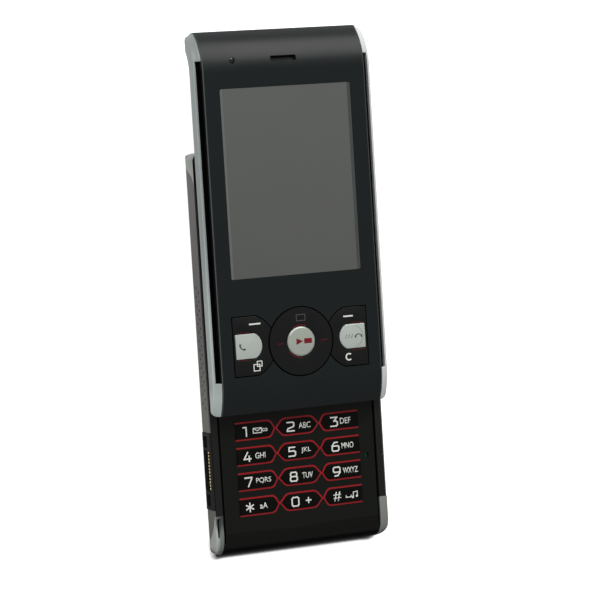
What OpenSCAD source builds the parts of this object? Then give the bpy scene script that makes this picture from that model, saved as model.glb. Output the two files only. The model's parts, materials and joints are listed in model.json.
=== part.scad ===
// Slider phone, 100 x 47 x 14 mm closed, shown open. Millimetres.
// Origin: middle of the back face it lies on. +Z out of the screen, +Y toward the
// earpiece, +X to the right of someone facing the screen. Rest pose: slid open.

/* [Base] */
// how far the silver rails stand proud of the lower half's side covers
side_step = 0.2; // [0.2:0.05:0.6]
// length of the lower half
base_l = 100; // [99:0.5:101]
// height of the lower half's side walls
base_h = 7.8; // [7.8:0.05:7.9]
// plan corner radius of the lower half
base_r = 3; // [2.5:0.1:3.5]
// plan corner radius of the lower half at its upper end
head_r = 2; // [1.8:0.1:2.4]
// radius along the back edges
back_r = 3.4; // [3:0.1:3.5]
// radius of the chin's front edge
chin_r = 5.2; // [5:0.1:5.3]
// where the chin cap meets the keypad plate
chin_y = 44.4; // [44.2:0.1:44.6]
// thickness of the outer side covers
skin = 0.85; // [0.8:0.01:0.9]

/* [Slider] */
// width over the silver rails of the upper half
slider_w = 47; // [46.8:0.1:47.4]
// length of the upper half
slider_l = 93.8; // [93.5:0.1:94]
// lower end of the upper half when open
slider_y0 = -14.5; // [-14.6:0.1:-14.4]
// sliding travel
travel = 33; // [30:0.5:33]
// level of the front face
front_z = 13.6; // [13.6:0.05:13.7]
// underside of the upper half
under_z = 8.25; // [8.25:0.01:8.3]
// radius of the curved top end
top_r = 13; // [12.8:0.1:13]
// radius of the curved lower lip
lip_r = 16; // [15.5:0.1:16]
// width of the silver rail beside the front cover
rail_w = 2.12; // [2.1:0.01:2.2]

/* [Display] */
// width of the display window
win_w = 34.5; // [34:0.1:34.6]
// height of the display window
win_h = 46.4; // [46:0.1:46.4]
// middle of the window
win_y = 42; // [41.8:0.1:42.1]

/* [Navigation] */
// middle of the navigation cluster
nav_y = 2.3; // [2.2:0.1:2.4]
// radius of the navigation ring
ring_r = 8.35; // [8.2:0.05:8.4]
// radius of the centre key
mid_r = 3.68; // [3.5:0.02:3.7]
// outer edge of the side rockers
rocker_x = 17.8; // [17.6:0.1:17.9]
// half height of the side rockers
rocker_h = 7.25; // [7.1:0.05:7.3]
// inner end radius of the side rockers
rocker_r = 7.8; // [7.6:0.1:7.8]
// half height of the silver call and end keys
call_h = 3.05; // [2.9:0.05:3.1]
// running gap round the front keys
key_gap = 0.25; // [0.2:0.01:0.3]

/* [Keypad] */
// middle of the first row of number keys
row_y = -19.2; // [-19.3:0.1:-19.1]
// distance between rows
row_p = 6.29; // [6.2:0.01:6.3]
// half height of a key outline
key_h = 2.32; // [2.25:0.01:2.35]
// outer edge of the side columns
key_x = 16.75; // [16.5:0.05:16.9]
// width of the red outline round each key
line_w = 0.42; // [0.38:0.01:0.45]
// press travel of a number key
press = 0.25; // [0.15:0.01:0.25]

/* [Battery] */
// distance from the battery to the side of the lower half
bat_side = 6.3; // [6.3:0.1:6.8]
// battery length
bat_l = 54; // [52:0.5:54]
// battery thickness
bat_t = 4.15; // [4:0.05:4.2]

/* [Connector] */
// upper end of the side connector
con_y1 = -18.8; // [-18.9:0.1:-18.7]
// lower end of the side connector
con_y0 = -38; // [-38.1:0.1:-37.9]

/* [Hidden] */
$fn = 64;
sw = slider_w / 2; bw = sw - side_step; bl = base_l / 2; in_x = bw - skin;
slider_y1 = slider_y0 + slider_l; arc_y = slider_y1 - 10.3; lip_y = slider_y0 + 8;
arc_z = front_z - top_r; lip_z = front_z - lip_r;
plate_z = base_h - 0.2; floor_z = plate_z - 1; cav_x = bw - 3.5; plate_x = bw - 2.65;
cover_x = sw - rail_w; boss_x = cover_x - 4.18; sensor_x = boss_x - 3.7;
bat_w = 2 * (bw - bat_side); bat_y1 = bat_l / 2 - 13; can_y0 = bat_y1 + 2.8;
rail_z = 9.9; cover_t = 1.05; cover_z = front_z - cover_t; hook_z = 8.05;

module bx(x0, x1, y0, y1, z0, z1) { translate([x0, y0, z0]) cube([x1 - x0, y1 - y0, z1 - z0]); }
module cz(x, y, z0, z1, r) { translate([x, y, z0]) cylinder(r = r, h = z1 - z0); }
module cx(y, z, x0, x1, r) { translate([x0, y, z]) rotate([0, 90, 0]) cylinder(r = r, h = x1 - x0); }
module cy(x, z, y0, y1, r) { translate([x, y0, z]) rotate([-90, 0, 0]) cylinder(r = r, h = y1 - y0); }
module both() { children(); mirror([1, 0, 0]) children(); }
module rbox(x0, x1, y0, y1, z0, z1, r) {
  bx(x0 + r, x1 - r, y0, y1, z0, z1);
  bx(x0, x1, y0 + r, y1 - r, z0, z1);
  for (x = [x0 + r, x1 - r], y = [y0 + r, y1 - r]) cz(x, y, z0, z1, r);
}
// outline extruded along Z, drawn as [x, y]
module pz(p, z0, z1) { translate([0, 0, z0]) linear_extrude(z1 - z0) polygon(p); }
// outline extruded along X, drawn as [y, z]
module px(p, x0, x1) { translate([x0, 0, 0]) rotate([90, 0, 90]) linear_extrude(x1 - x0) polygon(p); }

// the lower half's whole envelope
module base_solid() {
  intersection() {
    union() {
      bx(-bw, bw, base_r - bl, bl - head_r, 0, base_h);
      bx(base_r - bw, bw - base_r, -bl, 0, 0, base_h);
      bx(head_r - bw, bw - head_r, 0, bl, 0, base_h);
      both() {
        cz(bw - base_r, base_r - bl, 0, base_h, base_r);
        cz(bw - head_r, bl - head_r, 0, base_h, head_r);
      }
    }
    union() {
      bx(-bw, bw, -bl, bl, back_r, base_h);
      bx(back_r - bw, bw - back_r, -bl, bl, 0, base_h);
      both() cy(bw - back_r, back_r, -bl, bl, back_r);
    }
    union() {
      bx(-bw, bw, chin_r - bl, bl, back_r, base_h);
      bx(-bw, bw, chin_r - bl, bl - back_r, 0, base_h);
      cx(bl - back_r, back_r, -bw, bw, back_r);
      cx(chin_r - bl, base_h - chin_r, -bw, bw, chin_r);
    }
  }
}
// side view of the grey cover, pointed at both ends
function cover_side(g) = [[-46.3 + g, 2.4 + g], [46.6 - g, 2.4 + g], [46.2 - g, 3.2],
  [44.4 - g, 6.3 - g], [42.6 - g, base_h - 0.25 - g], [-39.4 + g, base_h - 0.25 - g],
  [-40.6 + g, 7.1 - g], [-42.1 + g, 6.45 - g], [-43.2 + g, 5.75 - g],
  [-44.3 + g, 4.85 - g], [-45.2 + g, 3.9 - g]];
lower_z = 2.35; rib_z = 5.25; web_z = 5.65; lip_under = 6.95; screw_x = bw - 4.65;

// what the curved chin wraps, inside a wall of thickness t
module chin_core(w, t) {
  bx(-w, w, t - bl, 0, -1, base_h - chin_r);
  intersection() {
    cx(chin_r - bl, base_h - chin_r, -w, w, chin_r - t);
    bx(-w, w, -bl, chin_r - bl, 0, 20);
  }
  bx(-w, w, chin_r - bl, 0, -1, base_h - t);
}
module base_shell() {
  color([0.09, 0.09, 0.1]) difference() {
    base_solid();
    both() {
      bx(in_x - 0.05, bw + 1, -bl - 1, bl + 1, lower_z, lip_under);
      bx(bw - 0.4, bw + 1, -bl - 1, bl + 1, lower_z, base_h + 1);
      bx(cav_x, bw + 1, bl - skin - 0.05, bl + 1, lower_z, base_h + 1);
      difference() {
        bx(plate_x + 0.5, bw + 1, -bl - 1, chin_r - bl, lower_z, base_h + 1);
        chin_core(bw + 2, skin + 0.05);
      }
      // corner ears and the running groove with its undercut
      bx(plate_x + 0.55, bw + 1, -bl - 1, -39.45, base_h - 0.95, base_h + 1);
      bx(plate_x + 0.55, bw + 1, 47.75, bl + 1, base_h - 0.95, base_h + 1);
      bx(plate_x + 0.05, plate_x + 0.55, -46.3, 48.75, 6.05, base_h + 1);
      bx(plate_x + 0.05, plate_x + 1.05, -46.3, 48.75, 6.3, 6.87);
      // upper and lower screws
      cz(screw_x, 44, -1, 0.55, 1.1);
      cz(screw_x, 44, 0, 2, 0.52);
      cz(screw_x, -42.6, 0.5, 1.4, 1.1);
      cz(screw_x, -42.6, 0.5, 2, 0.52);
      // speaker grille
      for (i = [-2:2], j = [-1:1]) cz(bw - 10.3 + i * 1.9, 36.5 + j * 1.9, -1, 2, 0.4);
    }
    // chin cap seat, plate seat, upper cavity, board space, lower cavity
    bx(-plate_x - 0.05, plate_x + 0.05, -bl - 1, 0.03 - chin_y, floor_z, base_h + 1);
    difference() {
      bx(-plate_x - 0.55, plate_x + 0.55, -bl - 1, chin_r - bl, lower_z, base_h + 1);
      chin_core(bw, 1.1);
    }
    bx(-plate_x - 0.1, plate_x + 0.1, -chin_y, 48.75, floor_z, base_h + 1);
    bx(-cav_x, cav_x, bat_y1 + 2, 48.75, 0.9, base_h);
    bx(-cav_x, cav_x, -47.6, 48.75, web_z, base_h);
    bx(-cav_x, cav_x, -47.6, -41, 1.7, base_h);
    // battery bay and door seat
    bx(-bat_w / 2 - 0.1, bat_w / 2 + 0.1, -bat_l / 2 - 13.1, bat_l / 2 - 12.9, -1, rib_z);
    bx(3.85 - bw, bw - 3.85, -bl - 1, bat_y1 + 2.05, -1, 0.88);
    // connector, camera, rocker and power key openings, clip slots of the door
    bx(-bw - 1, 5.5 - bw, con_y0 - 0.05, con_y1 + 0.05, con_z - 0.05, web_z + 0.1);
    bx(-bw - 1, 1 - bw, con_y0 - 0.05, con_y1 + 0.05, con_z - 0.05, base_h - 0.35);
    cz(0, 36.5, -1, 2, 3.6);
    bx(bw - 2.9, bw + 1, 7.9, 26.1, 3.9, 6.1);
    bx(-6.1, 6.1, 48, bl + 1, 3.55, 6.25);
    both() bx(bw - 5.3, bw - 4.3, -12, -6, 0.5, 1.6);
  }
}

function run1() = 1.25; function run2() = 1.9;
function leg(r) = sqrt(r * r + key_h * key_h) / key_h;
// corner i of an outline, cut back by s and rounded; s = 0 leaves it sharp
function corner(p, i, s) = let (n = len(p), b = p[i], a = p[(i + n - 1) % n], c = p[(i + 1) % n],
    u = b + s * (a - b) / norm(a - b), v = b + s * (c - b) / norm(c - b))
  s == 0 ? [b] : [for (t = [0:0.25:1]) (1 - t) * (1 - t) * u + 2 * t * (1 - t) * b + t * t * v];
// outline of a number key, drawn inward by d; c is -1, 0 or 1 for its column
function key_pts(c, d) = let (h = key_h - d, a = 5.85 + d * leg(run1()), b = 5.95 - d * leg(run2()),
    p = a + run1() * h / key_h, q = b - run2() * h / key_h,
    e = d > 0.1 ? d - line_w + 0.1 : d,
    w = c == 0 ? [[-q, -h], [q, -h], [b, 0], [q, h], [-q, h], [-b, 0]]
        : [[c * p, -h], [c * (key_x - e), -h], [c * (key_x - e), h], [c * p, h], [c * a, 0]],
    r = c == 0 ? [0.95, 0.95, 0, 0.95, 0.95, 0] : [0.95, 0, 0, 0.95, 0])
  [for (i = [0:len(w) - 1]) each corner(w, i, r[i])];
module key_prism(c, r, d, z0, z1) { translate([0, row_y - r * row_p, 0]) pz(key_pts(c, d), z0, z1); }
key_top = 7.95; key_z = 7.15; sheet_z = 6.85; con_z = 3.05;
pin_a = [5, -5]; pin_b = [13.4, 12];

module front_plate() {
  color([0.1, 0.1, 0.11]) {
    difference() {
      bx(-plate_x, plate_x, 0.05 - chin_y, 48.7, floor_z + 0.02, plate_z);
      for (c = [-1:1], r = [0:3]) key_prism(c, r, -0.03, 5, 9);
      bx(-key_x - 0.85, key_x + 0.85, -43.4, -14.8, 5, sheet_z + 0.03);
      cz(bw - 4.85, -28.6, 5, 9, 0.64);
      // slot where the flat cable passes up
      bx(-14, -8, -9.4, -8.4, 5, 9);
    }
    both() for (y = [44, -42.6]) difference() {
      cz(screw_x, y, 1.75, floor_z + 0.3, 1.1);
      cz(screw_x, y, 1, 6, 0.46);
    }
  }
}
module cover_half() {
  intersection() {
    base_solid();
    px(cover_side(0.04), -bw - 1, -in_x);
    union() {
      bx(-bw - 1, 0, -bl, bl, 0, lip_under - 0.05);
      bx(-bw - 1, 0.35 - bw, -bl, bl, 0, base_h);
    }
  }
}
module side_cover_left() {
  color([0.5, 0.5, 0.49]) difference() {
    cover_half();
    bx(-bw - 1, 0, con_y0 - 0.06, con_y1 + 0.06, con_z - 0.06, base_h);
    for (i = [0:13], j = [0:1]) cx(17 - i * 2.2 - j * 1.1, 4.6 + j * 1.4, -bw - 1, 0, 0.32);
  }
}
module side_cover_right() {
  color([0.5, 0.5, 0.49]) difference() {
    mirror([1, 0, 0]) cover_half();
    bx(0, bw + 1, 7.9, 26.1, 3.9, 6.1);
  }
}
module corner_solid(bottom, slotted = false) {
  difference() {
    intersection() {
      base_solid();
      union() {
        difference() {
          bx(in_x, bw + 1, bottom ? -bl - 1 : 42, bottom ? -39.5 : bl + 1, lower_z + 0.03, base_h);
          px(cover_side(0), 0, bw + 1);
        }
        if (bottom) {
          bx(plate_x + 0.6, bw + 1, -bl - 1, -39.5, base_h - 0.9, base_h);
          difference() {
            bx(plate_x + 0.58, bw + 1, -bl - 1, chin_r - bl, lower_z + 0.03, base_h);
            chin_core(bw + 2, skin);
          }
        } else {
          bx(plate_x + 0.6, bw + 1, 47.8, bl + 1, base_h - 0.9, base_h);
          bx(cav_x + 0.2, bw + 1, bl - skin, bl + 1, lower_z + 0.03, base_h);
        }
      }
    }
    // nothing of it lies under the side cover
    intersection() {
      px(cover_side(0), in_x - 0.02, bw + 1);
      union() {
        bx(0, bw + 1, -bl, bl, 0, lip_under - 0.02);
        bx(bw - 0.38, bw + 1, -bl, bl, 0, base_h + 1);
      }
    }
    // strap slot between the two bars of the left ear, and the chin cap's room
    if (slotted) {
      pz([[bw - 1.7, -40.1], [bw - 0.35, -40.1], [bw - 0.5, -44.9], [bw - 0.95, -44.9]],
        base_h - 0.5, base_h + 1);
      pz([[bw - 1.2, -40.1], [bw - 0.35, -40.1], [bw - 0.56, -44.9], [bw - 0.86, -44.9]],
        base_h - 2.6, base_h + 1);
    }
    if (bottom) {
      bx(0, plate_x + 0.6, -bl - 1, -chin_y, floor_z + 0.1, base_h + 1);
    } else bx(0, bw - 0.3, 40, 47.8, lip_under - 0.05, base_h + 1);
  }
}
silver = [0.76, 0.77, 0.76];
module corner_bottom_right() { color(silver) corner_solid(true); }
module corner_bottom_left() { color(silver) mirror([1, 0, 0]) corner_solid(true, true); }
module corner_top_right() { color(silver) corner_solid(false); }
module corner_top_left() { color(silver) mirror([1, 0, 0]) corner_solid(false); }

module bottom_cap() {
  color([0.07, 0.07, 0.08]) difference() {
    intersection() {
      base_solid();
      bx(-plate_x - 0.5, plate_x + 0.5, -bl - 1, -chin_y, lower_z + 0.05, base_h - 0.2);
    }
    intersection() { chin_core(bw, 1.05); bx(-bw, bw, -bl, 0, 0, floor_z + 0.05); }
    both() bx(cav_x + 0.12, bw, chin_r - bl - 0.05, 0, 0, floor_z + 0.15);
    both() bx(plate_x, bw, -46.35, 0, 0, base_h);
  }
}
module battery_door() {
  color([0.12, 0.12, 0.13]) {
    rbox(3.9 - bw, bw - 3.9, 0.8 - bl, bat_y1 + 2, 0, 0.85, 0.6);
    // two clips that run in the shell's slots, set back for the door's stroke
    both() bx(bw - 5.2, bw - 4.4, -7.5, -6.1, 0.5, 1.45);
  }
}
module battery() {
  color([0.55, 0.57, 0.6])
    rbox(-bat_w / 2, bat_w / 2, -bat_l / 2 - 13, bat_l / 2 - 13, 0.98, 0.98 + bat_t, 1.2);
}
module main_board() {
  color([0.08, 0.3, 0.16]) difference() {
    bx(0.3 - cav_x, cav_x - 0.3, -45.8, 48, web_z + 0.03, web_z + 0.63);
    both() for (y = [44, -42.6]) cz(screw_x, y, 5, 7, 1.4);
    bx(-9, 9, 47, 49, 5, 7);
    bx(-bw, 6.1 - bw, con_y0, con_y1, 5, 7);
  }
}
module shield_can() { color([0.72, 0.73, 0.74]) rbox(0.5, bw - 5.1, can_y0, 28.6, 4.35, web_z, 0.5); }
module sim_holder() {
  color([0.8, 0.78, 0.7]) difference() {
    bx(4.9 - bw, -1.6, can_y0, 28.6, 4.3, web_z);
    bx(5.7 - bw, -2.4, can_y0 - 1.8, 27.4, 4.6, 5.4);
  }
}
module connector_shell() {
  color([0.06, 0.06, 0.06]) difference() {
    union() {
      bx(-bw - 0.28, 0.95 - bw, con_y0, con_y1, con_z, base_h - 0.4);
      bx(0.9 - bw, 5.4 - bw, con_y0, con_y1, con_z, web_z);
    }
    bx(-bw - 1, 4.3 - bw, -33.4, -23.2, 3.5, 5.25);
    bx(-bw - 1, 0.6 - bw, -33.4, -23.2, 3.5, 6.9);
    bx(-bw - 1, 2.8 - bw, -22.6, -19.7, 3.6, 6);
    bx(-bw - 1, 2.8 - bw, -37.1, -34.2, 3.6, 6);
  }
}
module connector_contacts() {
  color([0.85, 0.68, 0.35]) for (i = [0:11])
    bx(0.1 - bw, 0.57 - bw, -33 + i * 0.82, -32.55 + i * 0.82, 5.36, 6.75);
}
module speakers() {
  color([0.2, 0.2, 0.21]) both() difference() {
    rbox(bw - 16.1, bw - 4.1, 31, 42.2, 1.0, 4.6, 1.5);
    cz(bw - 10.2, 36.5, 0, 1.6, 4.2);
  }
}
module camera_module() {
  color([0.13, 0.13, 0.14]) { bx(-4.4, 4.4, 32.1, 40.9, 1.9, web_z - 0.05); cz(0, 36.5, 0.9, 2, 3.1); }
}
module camera_window() { color([0.2, 0.22, 0.26]) { cz(0, 36.5, 0.12, 0.8, 3.5); } }
module vibration_motor() {
  color([0.75, 0.75, 0.74]) { cx(22.6, 2.6, 3, 12, 1.65); cx(22.6, 2.6, 12, 15.5, 1.1); }
}
module antenna() {
  color([0.16, 0.16, 0.17]) difference() {
    bx(8.3 - bw, bw - 8.3, 44.6, 47.9, 0.93, web_z - 0.05);
    bx(10.3 - bw, bw - 10.3, 45.6, 49, 2, 5);
  }
}
module dome_sheet() {
  color([0.8, 0.8, 0.78]) {
    bx(-key_x - 0.75, key_x + 0.75, -43.2, -15, web_z + 0.66, web_z + 0.78);
    for (c = [-11.3, 0, 11.3], r = [0:3]) cz(c, row_y - r * row_p, web_z + 0.7, web_z + 0.88, 1.9);
  }
}
module key_guide() {
  color([0.68, 0.08, 0.12]) difference() {
    union() {
      bx(-key_x - 0.75, key_x + 0.75, -43.3, -14.9, floor_z + 0.03, sheet_z);
      for (c = [-1:1], r = [0:3]) key_prism(c, r, 0, floor_z + 0.03, plate_z + 0.08);
    }
    for (c = [-1:1], r = [0:3]) {
      key_prism(c, r, line_w, sheet_z, 9);
      cz(c * 11.3, row_y - r * row_p, 5, 8, 1.7);
    }
  }
}
module number_key(c, r) {
  color([0.08, 0.08, 0.09]) {
    key_prism(c, r, line_w + 0.07, key_z, key_top);
    cz(c * 11.3, row_y - r * row_p, 6.82, key_z + 0.2, 1.4);
  }
}
module key_1() { number_key(-1, 0); }
module key_2() { number_key(0, 0); }
module key_3() { number_key(1, 0); }
module key_4() { number_key(-1, 1); }
module key_5() { number_key(0, 1); }
module key_6() { number_key(1, 1); }
module key_7() { number_key(-1, 2); }
module key_8() { number_key(0, 2); }
module key_9() { number_key(1, 2); }
module key_star() { number_key(-1, 3); }
module key_0() { number_key(0, 3); }
module key_hash() { number_key(1, 3); }

module base_slide_plate() {
  color([0.62, 0.63, 0.64]) {
    difference() {
      bx(4.3 - bw, bw - 4.3, -8, 45.5, plate_z + 0.01, plate_z + 0.31);
      bx(-14.2, -7.8, -9, -7.6, 7, 9);
      for (x = [-11, 11], y = [12, 36]) cz(x, y, 7, 9, 3);
    }
    cz(pin_a[0], pin_a[1], plate_z + 0.2, 9.05, 0.8);
  }
}
module base_screws() {
  color([0.7, 0.7, 0.7]) both() for (s = [[44, 0.1], [-42.6, 0.94]]) {
    cz(screw_x, s[0], s[1], s[1] + 0.42, 1);
    cz(screw_x, s[0], s[1] + 0.3, s[1] + 4, 0.42);
  }
}
module volume_rocker() {
  color([0.45, 0.45, 0.45]) {
    rbox_x(in_x - 0.3, bw + 0.2, 8, 26, 4, 6, 1);
    bx(bw - 2.3, in_x, 15.5, 18.5, 4.3, 5.7);
  }
}
module rbox_x(x0, x1, y0, y1, z0, z1, r) {
  bx(x0, x1, y0 + r, y1 - r, z0, z1);
  for (y = [y0 + r, y1 - r]) cx(y, (z0 + z1) / 2, x0, x1, r);
}
module power_key() {
  color([0.3, 0.3, 0.31]) { bx(-6, 6, 48.8, bl + 0.25, 3.7, 6.1); bx(-5, 5, 48.3, 49, 3.8, 6); }
}

// sheet with two folded legs that run in the lower half's grooves
module slider_plate() {
  color([0.66, 0.67, 0.68]) difference() {
    union() {
      bx(-plate_x - 0.45, plate_x + 0.45, -12.4, 32, under_z + 0.05, under_z + 0.35);
      both() bx(plate_x + 0.15, plate_x + 0.45, -12.4, 32, 6.4, under_z + 0.2);
      both() bx(plate_x + 0.15, plate_x + 0.95, -12.4, 32, 6.4, 6.75);
    }
    bx(-14.5, -7.5, -12, 25.5, 8, 9);
    bx(3.4, 16, -10.5, 30.5, 8, 9);
    both() cz(boss_x, -9.4, 8, 9, 1.5);
  }
}
// inner envelope of the upper half, a wall thickness inside the front cover
module slider_inner(x) {
  intersection() {
    bx(-x, x, slider_y0 + 1.05, slider_y1 - 1.05, under_z, cover_z - 0.03);
    union() {
      bx(-x, x, slider_y0, arc_y, 0, 14);
      cx(arc_y, arc_z, -x, x, top_r - cover_t - 0.04);
    }
    union() {
      bx(-x, x, lip_y, slider_y1, 0, 14);
      cx(lip_y, lip_z, -x, x, lip_r - cover_t - 0.04);
    }
  }
}
module slider_frame() {
  color([0.06, 0.06, 0.07]) difference() {
    union() {
      slider_inner(cover_x - 0.05);
      bx(1.2 - sw, sw - 1.2, slider_y0 + 1.05, arc_y - 0.6, under_z, rail_z - 0.06);
    }
    bx(0.78 - cover_x, cover_x - 0.78, slider_y0 + 1.8, slider_y1 - 2, rail_z - 0.1, 14);
    // room for the sheet, its spring and the flat cable
    bx(-plate_x - 0.55, plate_x + 0.55, -12.5, 32.1, 8, under_z + 0.37);
    bx(-14.6, -7.4, -12, 25.6, 8, rail_z - 0.6);
    bx(3.3, 16.1, -10.6, 30.6, 8, rail_z - 0.6);
    bx(-14, -8, 24, 25, 8, 11);
    both() for (y = [-9.4, 73.4]) { cz(boss_x, y, 8, 9, 1.35); cz(boss_x, y, 8, 11, 0.75); }
  }
  color([0.06, 0.06, 0.07]) cz(pin_b[0], pin_b[1], 8.5, rail_z - 0.5, 0.8);
}
// cross-section of a silver rail, [x, z]
function rail_pts() = [[cover_x + 0.07, rail_z], [sw - 0.15, rail_z], [sw, rail_z + 0.15], [sw, 11.9],
  [sw - 0.12, 12.3], [sw - 0.4, 12.55], [sw - 0.8, 12.65], [cover_x + 0.07, front_z - 0.1]];
// the channel in the rail beside the cover, and the black strip that lines it
function channel_pts() = [[cover_x, 11.3], [sw - 0.75, 11.3], [sw - 0.75, 15], [cover_x, 15]];
function inlay_pts() = [[cover_x + 0.09, 11.32], [sw - 0.78, 11.32], [sw - 0.78, 11.5],
  [cover_x + 0.3, 11.5], [cover_x + 0.3, 13.3], [cover_x + 0.09, 13.3]];
// a rail-like form: straight along Y, curved down at both ends
module swept(p) {
  intersection() {
    translate([0, arc_y, 0]) rotate([90, 0, 0]) linear_extrude(arc_y - lip_y) polygon(p);
    bx(0, 30, lip_y, arc_y, 0, 20);
  }
  intersection() {
    translate([0, arc_y, arc_z]) rotate([0, 90, 0]) rotate_extrude()
      polygon([for (q = p) [q[1] - arc_z, q[0]]]);
    bx(0, 30, arc_y - 0.001, slider_y1, hook_z, 20);
  }
  intersection() {
    translate([0, lip_y, lip_z]) rotate([0, 90, 0]) rotate_extrude()
      polygon([for (q = p) [q[1] - lip_z, q[0]]]);
    bx(0, 30, slider_y0, lip_y + 0.001, rail_z, 20);
  }
}
module plan_round() {
  intersection() {
    children();
    rbox(-sw, sw, slider_y0, slider_y1, 0, 20, 1.6);
  }
}
module rail() {
  difference() {
    plan_round() swept(rail_pts());
    intersection() { swept(channel_pts()); bx(0, 30, lip_y + 0.3, 72.2, 0, 20); }
  }
}
module rail_right() { color(silver) rail(); }
module rail_left() { color(silver) mirror([1, 0, 0]) rail(); }
module rail_inlays() {
  color([0.05, 0.05, 0.05]) both() intersection() {
    swept(inlay_pts());
    bx(0, 30, lip_y + 0.33, 72.17, 0, 20);
  }
}
// rounded end toward the ring, straight outer end; g grows or shrinks it
module dee(x, r, xr, h, g, z0, z1) {
  intersection() {
    union() {
      cz(xr, nav_y, z0, z1, r - g);
      bx(xr, x - g, nav_y - h + g, nav_y + h - g, z0, z1);
    }
    bx(0, x - g, nav_y - h + g, nav_y + h - g, z0, z1);
  }
}
module rocker(g) { dee(rocker_x, rocker_r, 14.6, rocker_h, g, cover_z - 2, 20); }
module call_solid(g, z0, z1) { dee(17.3, 3.48, 13.9, call_h, g, z0, z1); }
module win(g, z0, z1) {
  rbox(-win_w / 2 - g, win_w / 2 + g, win_y - win_h / 2 - g, win_y + win_h / 2 + g, z0, z1, 0.45 + g);
}
module front_cover() {
  color([0.14, 0.14, 0.15]) difference() {
    union() {
      bx(-cover_x, cover_x, lip_y, arc_y, cover_z, front_z);
      plan_round() intersection() {
        difference() {
          cx(arc_y, arc_z, -cover_x, cover_x, top_r);
          cx(arc_y, arc_z, -30, 30, top_r - cover_t);
        }
        bx(-30, 30, arc_y, slider_y1, under_z, 20);
      }
      intersection() {
        cx(arc_y, arc_z, -cover_x, cover_x, top_r);
        bx(-30, 30, slider_y1 - 1, slider_y1, under_z, 20);
      }
      plan_round() intersection() {
        difference() {
          cx(lip_y, lip_z, -cover_x, cover_x, lip_r);
          cx(lip_y, lip_z, -30, 30, lip_r - cover_t);
        }
        bx(-30, 30, slider_y0, lip_y, under_z + 0.1, 20);
      }
      intersection() {
        cx(lip_y, lip_z, -cover_x, cover_x, lip_r);
        bx(-30, 30, slider_y0, slider_y0 + 1, under_z + 0.1, 20);
      }
      // screw bosses
      both() difference() {
        union() {
          cz(boss_x, -9.4, rail_z, 12.5, 1.5);
          cz(boss_x, 73.4, rail_z, 12.1, 1.5);
        }
        for (y = [-9.4, 73.4]) cz(boss_x, y, 8, 11.5, 0.68);
      }
    }
    win(0.05, 8, 20);
    cz(0, nav_y, 8, 20, ring_r + key_gap + 0.1);
    both() rocker(-key_gap);
    rbox(-3.4, 3.4, 71.3, 72.65, 8, 20, 0.3);
    cz(-sensor_x, 72, 8, 20, 0.78);
  }
}
module display_window() {
  color([0.34, 0.35, 0.35]) {
    win(0, cover_z - 0.1, front_z - 0.07);
    win(1.2, cover_z - 0.33, cover_z - 0.03);
  }
}
module display_module() {
  color([0.75, 0.76, 0.77]) bx(2.38 - cover_x, cover_x - 2.38, 15.2, 67.5, 10.42, cover_z - 0.36);
}
module slider_board() {
  color([0.08, 0.3, 0.16]) difference() {
    union() {
      bx(1.18 - cover_x, cover_x - 1.18, -6.6, 67.6, rail_z - 0.07, rail_z + 0.48);
      bx(-sensor_x - 2, 2 - sensor_x, 67, 74, rail_z - 0.07, rail_z + 0.48);
    }
    bx(-14, -8, 24, 25, 8, 12);
  }
  // ambient light sensor under its hole in the cover
  color([0.6, 0.6, 0.6]) {
    cz(-sensor_x, 72, 11, 12.9, 0.7);
    bx(-sensor_x - 1.1, 1.1 - sensor_x, 71, 73, rail_z + 0.4, 11.1);
  }
}
module earpiece() {
  color([0.25, 0.25, 0.26]) { bx(-6, 6, 68.4, 74, rail_z - 0.07, 11.4); }
  // mesh strip glued behind the slot
  color([0.4, 0.4, 0.4]) intersection() {
    difference() {
      cx(arc_y, arc_z, -5, 5, top_r - cover_t - 0.03);
      cx(arc_y, arc_z, -6, 6, top_r - cover_t - 0.25);
    }
    bx(-5, 5, 70.6, 73.3, 11, 14);
  }
  color([0.25, 0.25, 0.26]) bx(-5, 5, 70.7, 71.2, 11.3, 12.2);
}
module nav_keymat() {
  color([0.2, 0.2, 0.21]) {
    bx(2.78 - cover_x, cover_x - 2.78, -6.2, 10.8, rail_z + 0.5, 11.2);
    for (a = [0:90:270]) translate([0, nav_y, 0]) rotate([0, 0, a]) cz(6.6, 0, 11.1, 11.42, 0.9);
    cz(0, nav_y, 11.1, 11.42, 0.9);
    both() for (y = [-5, 0, 5]) cz(14, nav_y + y, 11.1, 11.42, 0.9);
  }
}
module nav_bar() {
  color([0.3, 0.3, 0.3]) difference() {
    union() {
      bx(-1.8, 1.8, nav_y - 7.2, nav_y + 7.2, 11.62, 11.9);
      cz(0, nav_y, 11.62, 11.9, 2.6);
    }
    cz(0, nav_y, 11, 13, 1.3);
  }
}
module nav_ring() {
  color([0.1, 0.1, 0.11]) difference() {
    union() {
      intersection() {
        cz(0, nav_y, 12.02, 12.3, ring_r + 0.8);
        bx(-3, 3, -20, 20, 12, 12.4);
      }
      cz(0, nav_y, 12.1, front_z + 0.15, ring_r);
      translate([0, nav_y, front_z + 0.15]) cylinder(r1 = ring_r - 0.1, r2 = ring_r - 1.2, h = 0.2);
    }
    cz(0, nav_y, 10, 20, mid_r + 0.14);
  }
}
module centre_key() {
  color([0.7, 0.72, 0.68]) {
    cz(0, nav_y, 12.22, front_z + 0.1, mid_r);
    translate([0, nav_y, front_z + 0.1]) cylinder(r1 = mid_r - 0.02, r2 = mid_r - 0.4, h = 0.25);
    cz(0, nav_y, 11.66, 12.4, 1.05);
  }
}
module end_key() {
  color([0.7, 0.72, 0.68]) { call_solid(0, 12.2, front_z + 0.3); cz(14, nav_y, 11.66, 12.4, 1); }
}
module call_key() { mirror([1, 0, 0]) end_key(); }
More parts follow.
